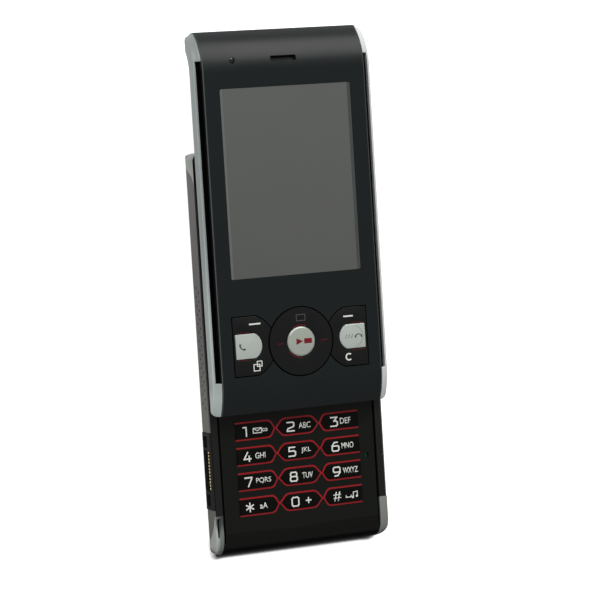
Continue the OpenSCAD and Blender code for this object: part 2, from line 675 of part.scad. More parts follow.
module rocker_right() {
  color([0.09, 0.09, 0.1]) {
    difference() {
      intersection() { rocker(0); bx(0, 30, -10, 15, 12.15, front_z + 0.12); }
      call_solid(0.07 - key_gap, 0, 20);
      cz(0, nav_y, 10, 20, ring_r + key_gap + 0.08);
    }
    for (y = [-5, 5]) cz(14, nav_y + y, 11.66, 12.4, 0.9);
  }
}
module rocker_left() { mirror([1, 0, 0]) rocker_right(); }
module slider_screws() {
  color([0.7, 0.7, 0.7]) both() for (y = [-9.4, 73.4]) {
    cz(boss_x, y, 8.3, 8.85, 1.2);
    cz(boss_x, y, 8.5, 11.3, 0.62);
  }
}
// over-centre wire spring: a coil and two arms to a pin on each half
module eye(p, r, inner) {
  translate([p[0], p[1], 8.5]) difference() {
    cylinder(r = r, h = 0.5);
    translate([0, 0, -1]) cylinder(r = inner, h = 3);
  }
}
module slide_spring() {
  coil = [13.2, 1.5];
  color([0.6, 0.6, 0.62]) {
    eye(coil, 2.2, 1.5);
    for (p = [pin_a, pin_b]) {
      eye(p, 1.45, 0.86);
      translate([p[0], p[1], 8.5]) rotate([0, 0, atan2(coil[1] - p[1], coil[0] - p[0])])
        translate([1.1, -0.25, 0]) cube([norm(coil - p) - 2.9, 0.5, 0.5]);
    }
  }
}
module flex_cable() {
  color([0.75, 0.45, 0.15]) px([[-9.1, 6.3], [-8.95, 6.3], [-8.95, 8.8], [24.6, 8.8],
    [24.6, 10.3], [24.45, 10.3], [24.45, 8.95], [-9.1, 8.95]], -13.5, -8.5);
}

base_shell();
front_plate();
side_cover_left();
side_cover_right();
corner_top_left();
corner_top_right();
corner_bottom_left();
corner_bottom_right();
bottom_cap();
battery_door();
battery();
main_board();
shield_can();
sim_holder();
connector_shell();
connector_contacts();
speakers();
camera_module();
camera_window();
vibration_motor();
antenna();
dome_sheet();
key_guide();
base_slide_plate();
base_screws();
volume_rocker();
power_key();
key_1();
key_2();
key_3();
key_4();
key_5();
key_6();
key_7();
key_8();
key_9();
key_star();
key_0();
key_hash();
slider_plate();
slider_frame();
front_cover();
rail_left();
rail_right();
rail_inlays();
display_window();
display_module();
slider_board();
earpiece();
nav_keymat();
nav_bar();
nav_ring();
centre_key();
call_key();
end_key();
rocker_left();
rocker_right();
slider_screws();
slide_spring();
flex_cable();
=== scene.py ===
import json
import math

import bmesh
import bpy
from mathutils import Matrix, Vector

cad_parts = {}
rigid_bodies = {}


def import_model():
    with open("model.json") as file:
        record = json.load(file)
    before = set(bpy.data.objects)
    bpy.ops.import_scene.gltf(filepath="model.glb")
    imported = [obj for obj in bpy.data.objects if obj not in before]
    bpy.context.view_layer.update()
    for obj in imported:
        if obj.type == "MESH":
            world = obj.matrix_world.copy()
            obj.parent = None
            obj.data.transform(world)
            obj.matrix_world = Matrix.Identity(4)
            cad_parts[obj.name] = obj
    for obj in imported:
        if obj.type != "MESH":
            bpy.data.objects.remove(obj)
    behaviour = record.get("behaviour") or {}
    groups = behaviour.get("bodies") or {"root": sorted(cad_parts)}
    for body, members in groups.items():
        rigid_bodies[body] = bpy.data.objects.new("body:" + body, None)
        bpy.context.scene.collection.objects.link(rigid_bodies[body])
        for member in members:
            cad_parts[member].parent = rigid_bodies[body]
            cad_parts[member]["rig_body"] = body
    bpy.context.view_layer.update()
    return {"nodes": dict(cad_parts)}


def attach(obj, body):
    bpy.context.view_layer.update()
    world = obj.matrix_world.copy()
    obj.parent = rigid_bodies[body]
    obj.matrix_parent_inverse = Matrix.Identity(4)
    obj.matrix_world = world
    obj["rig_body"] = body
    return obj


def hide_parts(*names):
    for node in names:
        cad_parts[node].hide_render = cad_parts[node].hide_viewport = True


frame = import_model()
nodes = frame["nodes"]

# ---- Camera -------------------------------------------------------------
# A long lens stands two thirds of a metre off the phone, a little to its left
# and slightly rolled, as the photographer held it.
lens_yaw, lens_pitch, lens_roll = (math.radians(a) for a in (22.508, 4.377, 3.504))
lens_spot = (-0.24598, 0.06171, 0.60819)
lens = bpy.data.cameras.new("camera")
lens.sensor_width = 36
lens.lens = 157.354
camera = bpy.data.objects.new("camera", lens)
bpy.context.scene.collection.objects.link(camera)
camera.matrix_world = (
    Matrix.Translation(lens_spot)
    @ Matrix.Rotation(-lens_yaw, 4, "Y")
    @ Matrix.Rotation(-lens_pitch, 4, "X")
    @ Matrix.Rotation(-lens_roll, 4, "Z")
)
bpy.context.scene.camera = camera
bpy.context.scene.view_settings.view_transform = "Standard"

# ---- Floor and light ----------------------------------------------------
# White paper sweep under the phone, lit by three softboxes and a bright room.
# The paper shows white to the lens and keeps the phone's soft shadow.
def shader(name):
    m = bpy.data.materials.new(name)
    m.use_nodes = True
    m.node_tree.nodes.clear()
    return m, m.node_tree.nodes, m.node_tree.links


def glow(n, kind, strength=1.0):
    light = n.new(kind)
    light.inputs["Color"].default_value = (1, 1, 1, 1)
    light.inputs["Strength"].default_value = strength
    return light


def reckoned(n, operation, first=None, second=None):
    step = n.new("ShaderNodeMath")
    step.operation = operation
    for socket, value in zip(step.inputs, (first, second)):
        if value is not None:
            socket.default_value = value
    return step


def ranged(n, start, stop, low=0.0, high=1.0):
    step = n.new("ShaderNodeMapRange")
    for name, value in (("From Min", start), ("From Max", stop),
                        ("To Min", low), ("To Max", high)):
        step.inputs[name].default_value = value
    return step


paper_half, paper_drop, paper_tone, paper_lift = 1.6, 0.0003, 0.86, 0.72
bm = bmesh.new()
bmesh.ops.create_grid(bm, x_segments=1, y_segments=1, size=paper_half)
bmesh.ops.translate(bm, verts=bm.verts, vec=(0, 0, -paper_drop))
paper_mesh = bpy.data.meshes.new("paper")
bm.to_mesh(paper_mesh)
bm.free()
paper = bpy.data.objects.new("paper", paper_mesh)
bpy.context.scene.collection.objects.link(paper)
m, n, l = shader("white_paper")
n_out = n.new("ShaderNodeOutputMaterial")
n_path, n_back = n.new("ShaderNodeLightPath"), n.new("ShaderNodeNewGeometry")
n_place, n_axes = n.new("ShaderNodeTexCoord"), n.new("ShaderNodeSeparateXYZ")
l.new(n_place.outputs["Object"], n_axes.inputs[0])
# To the lens alone, the paper is lifted to white.
n_paper = n.new("ShaderNodeBsdfDiffuse")
n_paper.inputs["Color"].default_value = (paper_tone, paper_tone, paper_tone, 1)
n_white = glow(n, "ShaderNodeEmission")
n_lift = reckoned(n, "MULTIPLY", second=paper_lift)
n_add = n.new("ShaderNodeAddShader")
l.new(n_path.outputs["Is Camera Ray"], n_lift.inputs[0])
l.new(n_lift.outputs[0], n_white.inputs["Strength"])
l.new(n_paper.outputs[0], n_add.inputs[0])
l.new(n_white.outputs[0], n_add.inputs[1])
# Painted shadow: to the lens alone, the paper turns near black where it lies close to the phone, in
# a strip in front of the front end that starts at the lower left ear.
contact_reach, contact_power, painted_shadow_tone = 0.0023, 16.0, 0.004
n_near = n.new("ShaderNodeAmbientOcclusion")
n_near.samples = 32
n_near.inputs["Distance"].default_value = contact_reach
n_deep = reckoned(n, "POWER", second=contact_power)
n_front, n_side = ranged(n, -0.0460, -0.0475), ranged(n, -0.0230, -0.0205)
n_both = reckoned(n, "MULTIPLY")
n_where = n.new("ShaderNodeMix")
n_where.inputs["A"].default_value = 1.0
n_shut = reckoned(n, "SUBTRACT", first=1.0)
n_hold = reckoned(n, "MULTIPLY")
n_painted_shadow = n.new("ShaderNodeBsdfDiffuse")
n_painted_shadow.inputs["Color"].default_value = (painted_shadow_tone, painted_shadow_tone, painted_shadow_tone, 1)
n_under = n.new("ShaderNodeMixShader")
l.new(n_axes.outputs["Y"], n_front.inputs["Value"])
l.new(n_axes.outputs["X"], n_side.inputs["Value"])
l.new(n_front.outputs[0], n_both.inputs[0])
l.new(n_side.outputs[0], n_both.inputs[1])
l.new(n_both.outputs[0], n_where.inputs["Factor"])
l.new(n_near.outputs["AO"], n_deep.inputs[0])
l.new(n_deep.outputs[0], n_where.inputs["B"])
l.new(n_where.outputs["Result"], n_shut.inputs[1])
l.new(n_path.outputs["Is Camera Ray"], n_hold.inputs[0])
l.new(n_shut.outputs[0], n_hold.inputs[1])
l.new(n_hold.outputs[0], n_under.inputs["Fac"])
l.new(n_add.outputs[0], n_under.inputs[1])
l.new(n_painted_shadow.outputs[0], n_under.inputs[2])
# From below the paper is clear. Painted reflection: to glossy rays the paper is a glow, dim near
# the front end of the phone and brighter further along, so the phone's gloss reflects a darker
# floor at its front end.
n_clear = n.new("ShaderNodeBsdfTransparent")
n_mix = n.new("ShaderNodeMixShader")
n_dim = glow(n, "ShaderNodeEmission")
n_painted_reflection = ranged(n, -0.05, 0.1, 0.05, 1.3)
n_far = n.new("ShaderNodeMixShader")
l.new(n_back.outputs["Backfacing"], n_mix.inputs["Fac"])
l.new(n_under.outputs[0], n_mix.inputs[1])
l.new(n_clear.outputs[0], n_mix.inputs[2])
l.new(n_axes.outputs["Y"], n_painted_reflection.inputs["Value"])
l.new(n_painted_reflection.outputs[0], n_dim.inputs["Strength"])
l.new(n_path.outputs["Is Glossy Ray"], n_far.inputs["Fac"])
l.new(n_mix.outputs[0], n_far.inputs[1])
l.new(n_dim.outputs[0], n_far.inputs[2])
l.new(n_far.outputs[0], n_out.inputs["Surface"])
paper_mesh.materials.append(m)

room = bpy.data.worlds.new("room")
bpy.context.scene.world = room
room.use_nodes = True
n, l = room.node_tree.nodes, room.node_tree.links
n.clear()
n_out = n.new("ShaderNodeOutputWorld")
n_seen, n_soft, n_dim = (glow(n, "ShaderNodeBackground", s) for s in (1.0, 0.43, 0.38))
n_path = n.new("ShaderNodeLightPath")
n_any = reckoned(n, "MAXIMUM")
n_far = n.new("ShaderNodeMixShader")
n_mix = n.new("ShaderNodeMixShader")
l.new(n_path.outputs["Is Camera Ray"], n_any.inputs[0])
l.new(n_path.outputs["Is Transmission Ray"], n_any.inputs[1])
l.new(n_any.outputs[0], n_mix.inputs["Fac"])
l.new(n_path.outputs["Is Glossy Ray"], n_far.inputs["Fac"])
l.new(n_soft.outputs[0], n_far.inputs[1])
l.new(n_dim.outputs[0], n_far.inputs[2])
l.new(n_far.outputs[0], n_mix.inputs[1])
l.new(n_seen.outputs[0], n_mix.inputs[2])
l.new(n_mix.outputs[0], n_out.inputs["Surface"])

for name, spot, watts, size in (
    ("softbox_top", (-0.35, 0.75, 0.85), 3.0, 0.5),
    ("softbox_left", (-1.0, 0.05, 0.5), 3.8, 0.6),
    ("softbox_far", (0.33, 0.8, 0.62), 8.0, 0.7),
):
    lamp = bpy.data.lights.new(name, "AREA")
    lamp.energy = watts
    lamp.size = size
    lamp.color = (1.0, 0.985, 0.95)
    box = bpy.data.objects.new(name, lamp)
    bpy.context.scene.collection.objects.link(box)
    box.location = spot
    box.rotation_mode = "QUATERNION"
    box.rotation_quaternion = (Vector((0, 0.01, 0)) - Vector(spot)).to_track_quat("-Z", "Y")
    box.visible_camera = False

# ---- Lower half: moulded tray and back door -----------------------------
# The tray and the battery door are injection-moulded black plastic with a
# fine spark-eroded grain, a little shinier where hands rub the edges.
# A colour is given as the tones on a screen, 0 to 255, and used as light.
def linear(r, g, b):
    return tuple((c / 255 / 12.92) if c <= 10 else ((c / 255 + 0.055) / 1.055) ** 2.4
                 for c in (r, g, b)) + (1.0,)


def toned(n, kind="MIX"):
    tone = n.new("ShaderNodeMix")
    tone.data_type = "RGBA"
    tone.blend_type = kind
    return tone


skin = bpy.data.node_groups.new("moulded_skin", "ShaderNodeTree")
for name, kind, value in (("Colour", "NodeSocketColor", (0.1, 0.1, 0.1, 1)),
                          ("Shade", "NodeSocketColor", (0.05, 0.05, 0.05, 1)),
                          ("Mottle Scale", "NodeSocketFloat", 90.0),
                          ("Mottle", "NodeSocketFloat", 0.3),
                          ("Grain Scale", "NodeSocketFloat", 5000.0),
                          ("Roughness", "NodeSocketFloat", 0.4),
                          ("Spread", "NodeSocketFloat", 0.1)):
    s = skin.interface.new_socket(name, in_out="INPUT", socket_type=kind)
    s.default_value = value
for name, kind in (("Colour", "NodeSocketColor"), ("Roughness", "NodeSocketFloat"),
                   ("Height", "NodeSocketFloat")):
    skin.interface.new_socket(name, in_out="OUTPUT", socket_type=kind)
n, l = skin.nodes, skin.links
n_in, n_out = n.new("NodeGroupInput"), n.new("NodeGroupOutput")
n_place = n.new("ShaderNodeTexCoord")
n_mottle = n.new("ShaderNodeTexNoise")
n_mottle.inputs["Detail"].default_value = 4
n_grain = n.new("ShaderNodeTexNoise")
n_grain.inputs["Detail"].default_value = 2
n_amount = reckoned(n, "MULTIPLY")
n_mix = toned(n)
n_rough = reckoned(n, "MULTIPLY_ADD")
n_centre = reckoned(n, "SUBTRACT", second=0.5)
l.new(n_place.outputs["Object"], n_mottle.inputs["Vector"])
l.new(n_place.outputs["Object"], n_grain.inputs["Vector"])
l.new(n_in.outputs["Mottle Scale"], n_mottle.inputs["Scale"])
l.new(n_in.outputs["Grain Scale"], n_grain.inputs["Scale"])
l.new(n_mottle.outputs["Fac"], n_amount.inputs[0])
l.new(n_in.outputs["Mottle"], n_amount.inputs[1])
l.new(n_amount.outputs[0], n_mix.inputs["Factor"])
l.new(n_in.outputs["Colour"], n_mix.inputs["A"])
l.new(n_in.outputs["Shade"], n_mix.inputs["B"])
l.new(n_mix.outputs["Result"], n_out.inputs["Colour"])
l.new(n_mottle.outputs["Fac"], n_centre.inputs[0])
l.new(n_centre.outputs[0], n_rough.inputs[0])
l.new(n_in.outputs["Spread"], n_rough.inputs[1])
l.new(n_in.outputs["Roughness"], n_rough.inputs[2])
l.new(n_rough.outputs[0], n_out.inputs["Roughness"])
l.new(n_grain.outputs["Fac"], n_out.inputs["Height"])


def moulded(name, colour, shade=None, rough=0.4, spread=0.15, mottle=0.4, mottle_scale=90.0,
            grain=5000.0, bump=0.05, specular=0.3, metal=0.0, coat=0.0):
    m, n, l = shader(name)
    out = n.new("ShaderNodeOutputMaterial")
    skin_of = n.new("ShaderNodeGroup")
    skin_of.node_tree = skin
    surface = n.new("ShaderNodeBsdfPrincipled")
    relief = n.new("ShaderNodeBump")
    base = linear(*colour)
    skin_of.inputs["Colour"].default_value = base
    skin_of.inputs["Shade"].default_value = linear(*shade) if shade else tuple(
        c * 0.75 for c in base[:3]) + (1.0,)
    skin_of.inputs["Mottle Scale"].default_value = mottle_scale
    skin_of.inputs["Mottle"].default_value = mottle
    skin_of.inputs["Grain Scale"].default_value = grain
    skin_of.inputs["Roughness"].default_value = rough
    skin_of.inputs["Spread"].default_value = spread
    surface.inputs["Specular IOR Level"].default_value = specular
    surface.inputs["Metallic"].default_value = metal
    surface.inputs["Coat Weight"].default_value = coat
    surface.inputs["Coat Roughness"].default_value = 0.08
    relief.inputs["Strength"].default_value = bump
    relief.inputs["Distance"].default_value = 0.0001
    l.new(skin_of.outputs["Colour"], surface.inputs["Base Color"])
    l.new(skin_of.outputs["Roughness"], surface.inputs["Roughness"])
    l.new(skin_of.outputs["Height"], relief.inputs["Height"])
    l.new(relief.outputs["Normal"], surface.inputs["Normal"])
    l.new(surface.outputs[0], out.inputs["Surface"])
    return m


# A second tone lies over a finish along one axis: the steps of where turn the
# place on that axis into how much of it shows.
def overlaid(finish, axis, where, kind, colour):
    n, l = finish.node_tree.nodes, finish.node_tree.links
    surface = next(k for k in n if k.type == "BSDF_PRINCIPLED")
    place, split = n.new("ShaderNodeTexCoord"), n.new("ShaderNodeSeparateXYZ")
    shade = toned(n, kind)
    shade.inputs["B"].default_value = colour
    l.new(place.outputs["Object"], split.inputs[0])
    l.new(split.outputs[axis], where[0].inputs[0])
    for step, after in zip(where, where[1:]):
        l.new(step.outputs[0], after.inputs[0])
    l.new(where[-1].outputs[0], shade.inputs["Factor"])
    l.new(surface.inputs["Base Color"].links[0].from_socket, shade.inputs["A"])
    l.new(shade.outputs["Result"], surface.inputs["Base Color"])


# Painted light or shade: a tint darkens or lightens the finish along one axis of the piece.
def painted_shading(finish, axis, start, stop, tint):
    along = ranged(finish.node_tree.nodes, start, stop)
    along.interpolation_type = "SMOOTHSTEP"
    overlaid(finish, axis, (along,), "MULTIPLY", (*tint, 1))


def fresh(name, body, mesh, finish):
    piece = bpy.data.objects.new(name, mesh)
    bpy.context.scene.collection.objects.link(piece)
    mesh.materials.append(finish)
    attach(piece, body)
    return piece


# The moulded pieces leave the tool with softened edges: the CAD skin is
# copied, its triangles are joined and every sharp edge gets a small round.
weld, flat_to, sharp_from, smooth_to = 2e-6, *(math.radians(a) for a in (0.6, 28, 38))


def softened(node, finish, width=0.08, steps=2, only=None):
    bm = bmesh.new()
    bm.from_mesh(nodes[node].data)
    bmesh.ops.remove_doubles(bm, verts=bm.verts, dist=weld)
    bmesh.ops.dissolve_limit(bm, angle_limit=flat_to, verts=bm.verts, edges=bm.edges)
    if width:
        sharp = [e for e in bm.edges if len(e.link_faces) == 2
                 and e.calc_face_angle(0) > sharp_from and (only is None or only(e))]
        bmesh.ops.bevel(bm, geom=sharp, offset=width / 1000, offset_type="OFFSET",
                        segments=steps, profile=0.5, affect="EDGES", clamp_overlap=only is None,
                        material=-1)
        bmesh.ops.remove_doubles(bm, verts=bm.verts, dist=weld / 2)
    for f in bm.faces:
        f.smooth = True
    for e in bm.edges:
        e.smooth = len(e.link_faces) == 2 and e.calc_face_angle(0) < smooth_to
    mesh = bpy.data.meshes.new(node + "_skin")
    bm.to_mesh(mesh)
    bm.free()
    piece = fresh(node + "_skin", nodes[node]["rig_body"], mesh, finish)
    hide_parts(node)
    return piece


tray_black = moulded("tray_black", (20, 20, 20), rough=0.42, grain=4200, bump=0.12, specular=0.25)
door_black = moulded("door_black", (26, 26, 26), rough=0.55, grain=3200, bump=0.3, specular=0.25)
softened("base_shell", tray_black, 0.06, 1)
softened("battery_door", door_black, 0.12)

# ---- Keypad plate, red guide and number keys ----------------------------
# A thin satin plate carries twelve keys in a grid. A translucent red guide
# stands proud round each of them as its outline, masked black at both outer
# ends; the caps are black resin.
plate_black = moulded("plate_black", (17, 19, 15), shade=(13, 15, 11), rough=0.33, grain=6000,
                      bump=0.04, specular=0.15)
guide_red = moulded("guide_red", (150, 22, 30), shade=(105, 14, 22), rough=0.3, mottle=0.7,
                    mottle_scale=420, specular=0.3)
cap_black = moulded("cap_black", (10, 10, 9), shade=(7, 7, 6), rough=0.28, grain=7000,
                    bump=0.03, specular=0.08)
softened("front_plate", plate_black, 0.05, 1)
softened("key_guide", guide_red, 0.06, 1)
guide_end = 0.01655
n = guide_red.node_tree.nodes
overlaid(guide_red, "X", (reckoned(n, "ABSOLUTE"), reckoned(n, "GREATER_THAN", second=guide_end)),
         "MIX", linear(17, 19, 15))
KEYS = ("key_1", "key_2", "key_3", "key_4", "key_5", "key_6", "key_7", "key_8", "key_9",
        "key_star", "key_0", "key_hash")
for key in KEYS:
    softened(key, cap_black, 0.1)

# ---- Printed legends of the number keys ---------------------------------
# The legends are pad-printed in pale grey ink, a few hundredths proud, with
# the digit on the left of each cap and small letters or a sign beside it.
ink_white = moulded("ink_white", (214, 217, 212), shade=(178, 182, 178), rough=0.5,
                    mottle=0.5, mottle_scale=900, grain=9000, bump=0.02, specular=0.2)
INK = 0.02


def word(bm, text, x, y, z, height, width, fat):
    curve = bpy.data.curves.new("word", "FONT")
    curve.body = text
    curve.size = 1
    curve.offset = fat
    holder = bpy.data.objects.new("word", curve)
    bpy.context.scene.collection.objects.link(holder)
    bpy.context.view_layer.update()
    flat = bpy.data.meshes.new_from_object(holder)
    bpy.data.objects.remove(holder)
    part = bmesh.new()
    part.from_mesh(flat)
    xs = [v.co.x for v in part.verts]
    ys = [v.co.y for v in part.verts]
    tall, wide = max(ys) - min(ys), max(xs) - min(xs)
    sx, sy = width / wide, height / tall
    for v in part.verts:
        v.co = ((v.co.x - min(xs) - wide / 2) * sx + x, (v.co.y - min(ys) - tall / 2) * sy + y, z)
    part.to_mesh(flat)
    part.free()
    bm.from_mesh(flat)
    bpy.data.meshes.remove(flat)


# Strokes that cross lie a hair above each other, so no two share a plane.
step_up, steps_up = 0.0024, 16


def stroke(bm, x0, y0, x1, y1, z, w):
    long = math.hypot(x1 - x0, y1 - y0)
    z += len(bm.verts) // 4 % steps_up * step_up
    made = bmesh.ops.create_grid(bm, x_segments=1, y_segments=1, size=0.5)["verts"]
    bmesh.ops.scale(bm, vec=(long + w, w, 1), verts=made)
    bmesh.ops.rotate(bm, cent=(0, 0, 0), verts=made,
                     matrix=Matrix.Rotation(math.atan2(y1 - y0, x1 - x0), 3, "Z"))
    bmesh.ops.translate(bm, verts=made, vec=((x0 + x1) / 2, (y0 + y1) / 2, z))


def frame_mark(bm, x0, y0, x1, y1, z, w):
    for ends in ((x0, y0, x1, y0), (x0, y1, x1, y1), (x0, y0, x0, y1), (x1, y0, x1, y1)):
        stroke(bm, *ends, z, w)


def disc(bm, x, y, z, r, steps=20):
    made = bmesh.ops.create_circle(bm, cap_ends=True, segments=steps, radius=r)["verts"]
    bmesh.ops.translate(bm, verts=made, vec=(x, y, z))


def ring_mark(bm, x, y, z, r, w, a0=0.0, a1=360.0, steps=24):
    edge = [bm.verts.new((x + (r - w / 2) * math.cos(math.radians(a0)),
                          y + (r - w / 2) * math.sin(math.radians(a0)), z)),
            bm.verts.new((x + (r + w / 2) * math.cos(math.radians(a0)),
                          y + (r + w / 2) * math.sin(math.radians(a0)), z))]
    side = bm.edges.new(edge)
    bmesh.ops.spin(bm, geom=edge + [side], cent=(x, y, z), axis=(0, 0, 1),
                   angle=math.radians(a1 - a0), steps=steps, use_merge=False)


def printed(name, body, bm, finish, depth=INK):
    bmesh.ops.remove_doubles(bm, verts=bm.verts, dist=INK / 10)
    bmesh.ops.scale(bm, vec=(0.001, 0.001, 0.001), verts=bm.verts)
    for f in bm.faces:
        if f.normal.z < 0:
            f.normal_flip()
    made = bmesh.ops.extrude_face_region(bm, geom=bm.faces[:])["geom"]
    bmesh.ops.translate(bm, verts=[g for g in made if isinstance(g, bmesh.types.BMVert)],
                        vec=(0, 0, depth / 1000))
    bmesh.ops.recalc_face_normals(bm, faces=bm.faces)
    mesh = bpy.data.meshes.new(name)
    bm.to_mesh(mesh)
    bm.free()
    piece = fresh(name, body, mesh, finish)
    return piece


# Digits are squared-off strokes on a grid from -1 to 1 in both directions.
digits = {"1": ((-0.75, 0.95), (0.1, 0.95), (0.1, -1)),
          "2": ((-0.95, 1), (0.65, 1), (1, 0.75), (1, 0.2), (0.75, -0.05), (-0.7, -0.4), (-1, -0.7),
                (-1, -1), (1, -1)),
          "3": ((-0.9, 1), (0.95, 1), (0, 0.15), (0.65, 0.15), (1, -0.12), (1, -0.72), (0.65, -1),
                (-1, -1)),
          "4": ((0.1, 1), (-1, -0.5), (1, -0.5)),
          "5": ((0.85, 1), (-0.8, 1), (-0.9, 0.15), (0.6, 0.15), (1, -0.12), (1, -0.72), (0.65, -1),
                (-0.95, -1)),
          "6": ((0.6, 1), (-0.3, 0.95), (-1, 0.2), (-1, -0.72), (-0.7, -1), (0.7, -1), (1, -0.72),
                (1, -0.1), (0.7, 0.15), (-0.9, 0.15)),
          "7": ((-1, 1), (1, 1), (0.95, 0.75), (-0.1, -1)),
          "8": ((-0.65, 0.05), (-0.9, 0.3), (-0.9, 0.75), (-0.65, 1), (0.65, 1), (0.9, 0.75),
                (0.9, 0.3), (0.65, 0.05), (-0.65, 0.05), (-1, -0.2), (-1, -0.75), (-0.7, -1),
                (0.7, -1), (1, -0.75), (1, -0.2), (0.65, 0.05)),
          "0": ((-1, -0.7), (-0.65, -1), (0.65, -1), (1, -0.7), (1, 0.7), (0.65, 1), (-0.65, 1),
                (-1, 0.7), (-1, -0.7))}
digits["9"] = tuple((-x, -y) for x, y in digits["6"])
key_top, row_0, row_step, legend_drop = 7.95, -19.2, 6.29, 0.08
digit_wide, digit_tall, digit_fat, star_arm = 0.9, 1.09, 0.34, 1.05
print_z = key_top - 0.005
legend = {"key_1": ("1", -13.85, None, 0, 0), "key_2": ("2", -1.9, "ABC", 1.9, 3.2),
          "key_3": ("3", 9.9, "DEF", 13.0, 2.9), "key_4": ("4", -13.85, "GHI", -10.4, 2.7),
          "key_5": ("5", -1.9, "JKL", 1.9, 2.6), "key_6": ("6", 9.9, "MNO", 13.2, 3.3),
          "key_7": ("7", -13.95, "PQRS", -9.95, 4.0), "key_8": ("8", -1.85, "TUV", 1.9, 2.9),
          "key_9": ("9", 9.85, "WXYZ", 13.6, 4.1), "key_star": ("", -14.0, "aA", -10.3, 2.1),
          "key_0": ("0", -1.8, None, 0, 0), "key_hash": ("#", 9.6, None, 0, 0)}
for i, key in enumerate(KEYS):
    digit, dx, letters, lx, wide = legend[key]
    y = row_0 - row_step * (i // 3) - legend_drop
    bm = bmesh.new()
    if digit in digits:
        marks = [(dx + a * digit_wide, y + b * digit_tall) for a, b in digits[digit]]
        for a, b in zip(marks, marks[1:]):
            stroke(bm, *a, *b, print_z, digit_fat)
        if digit == "4":
            stroke(bm, dx + 0.45, y - digit_tall, dx + 0.45, y + 0.1, print_z, digit_fat)
    elif digit:
        word(bm, digit, dx, y, print_z, 2.4, 2.1, 0.004)
    else:
        for a in (90, 30, 150):
            c, s = star_arm * math.cos(math.radians(a)), star_arm * math.sin(math.radians(a))
            stroke(bm, dx - c, y - s, dx + c, y + s, print_z, 0.32)
    if letters:
        word(bm, letters, lx, y + 0.05, print_z, 1.5, wide, 0.01)
    if key == "key_1":
        frame_mark(bm, -11.9, y - 0.6, -9.7, y + 0.6, print_z, 0.2)
        for x0, y0, x1, y1 in ((-11.9, 0.6, -10.8, -0.1), (-10.8, -0.1, -9.7, 0.6)):
            stroke(bm, x0, y + y0, x1, y + y1, print_z, 0.2)
        for x in (-9.15, -8.5):
            ring_mark(bm, x, y, print_z, 0.32, 0.18)
    if key == "key_0":
        stroke(bm, 1.15, y, 2.35, y, print_z, 0.32)
        stroke(bm, 1.75, y - 0.6, 1.75, y + 0.6, print_z, 0.32)
    if key == "key_hash":
        for x0, y0, x1, y1 in ((12.0, -0.1, 12.0, -0.5), (12.0, -0.5, 13.4, -0.5),
                               (13.4, -0.5, 13.4, -0.1), (14.0, -0.55, 14.0, 0.6),
                               (14.0, 0.6, 15.1, 0.8), (15.1, 0.8, 15.1, -0.35)):
            stroke(bm, x0, y + y0, x1, y + y1, print_z, 0.22)
        for x, d in ((13.85, -0.6), (14.95, -0.4)):
            disc(bm, x, y + d, print_z, 0.3)
    printed("legend_" + key[4:], key, bm, ink_white)

# ---- Grey side covers ---------------------------------------------------
# Two long covers, pointed at both ends, are sprayed in a warm mid grey. The
# left one is drilled for sound and frames the side socket.
side_grey = moulded("side_grey", (110, 110, 107), shade=(96, 96, 93), rough=0.4, grain=5200,
                    bump=0.06, specular=0.3, metal=0.2)
# Painted shade: the grey darkens towards the top end.
painted_shading(side_grey, "Y", -0.018, 0.012, (0.55, 0.54, 0.56))
for side in ("left", "right"):
    softened("side_cover_" + side, side_grey, 0.06, 1)

# ---- Silver corner pieces -----------------------------------------------
# Four small mouldings in silver lacquer wrap the corners of the lower half.
# The lower left one has a slot for a strap.
# Painted light and shade: the lower left ear takes a lit copy of the silver lacquer, the other
# three a shaded copy.
silver_painted_lit_copy, silver_face_painted_shade = (
    moulded(name, (189, 195, 192), shade=(171, 178, 175), rough=0.32, mottle=0.3,
            mottle_scale=60, grain=9000, bump=0.03, specular=0.5, metal=0.4)
    for name in ("silver_painted_lit_copy", "silver_face_painted_shade"))
silver_painted_shade_copy = moulded("silver_painted_shade_copy", (134, 139, 133), shade=(120, 125, 120), rough=0.3,
                       mottle=0.3, mottle_scale=60, grain=9000, bump=0.03, specular=0.5,
                       metal=0.45)
painted_shade_black = moulded("painted_shade_black", (8, 8, 8), rough=0.6, specular=0.1)
painted_shade_grey = moulded("painted_shade_grey", (72, 75, 74), shade=(56, 58, 57), rough=0.5, specular=0.2)
# Painted shade: the lit silver darkens towards the inside of the ear, and on its front face also
# towards the top.
for lacquer in (silver_painted_lit_copy, silver_face_painted_shade):
    painted_shading(lacquer, "X", -0.0231, -0.0219, (0.36, 0.37, 0.38))
painted_shading(silver_face_painted_shade, "Y", -0.0436, -0.0410, (0.3, 0.31, 0.32))
ears = {"top_left": (silver_painted_shade_copy, painted_shade_black), "top_right": (silver_painted_shade_copy, painted_shade_black),
        "bottom_left": (silver_painted_lit_copy, silver_face_painted_shade), "bottom_right": (silver_painted_shade_copy, silver_painted_shade_copy)}
front_z, slot_floor, slot_low = 0.0074, 0.00735, 0.007
slot_x, slot_y = (0.0214, 0.02297), (-0.0451, -0.0400)
for corner, (lacquer, face) in ears.items():
    piece = softened("corner_" + corner, lacquer, 0.1)
    # The front face takes its own tone: painted shade in black on the two top ears, where the
    # screen half overhangs them, and the silver with painted shade on the lower left ear. The slot
    # and the side next to the runner's groove take painted shade in black and dark grey.
    for finish in (face, painted_shade_black, painted_shade_grey):
        piece.data.materials.append(finish)
    for f in piece.data.polygons:
        x, y, z = abs(f.center.x), f.center.y, f.center.z
        if f.normal.z > 0.9 and z > front_z:
            f.material_index = 1
        if slot_x[0] < x < slot_x[1] and slot_y[0] < y < slot_y[1] and 0 < z <= slot_floor:
            f.material_index = 2 if z <= slot_low else 3

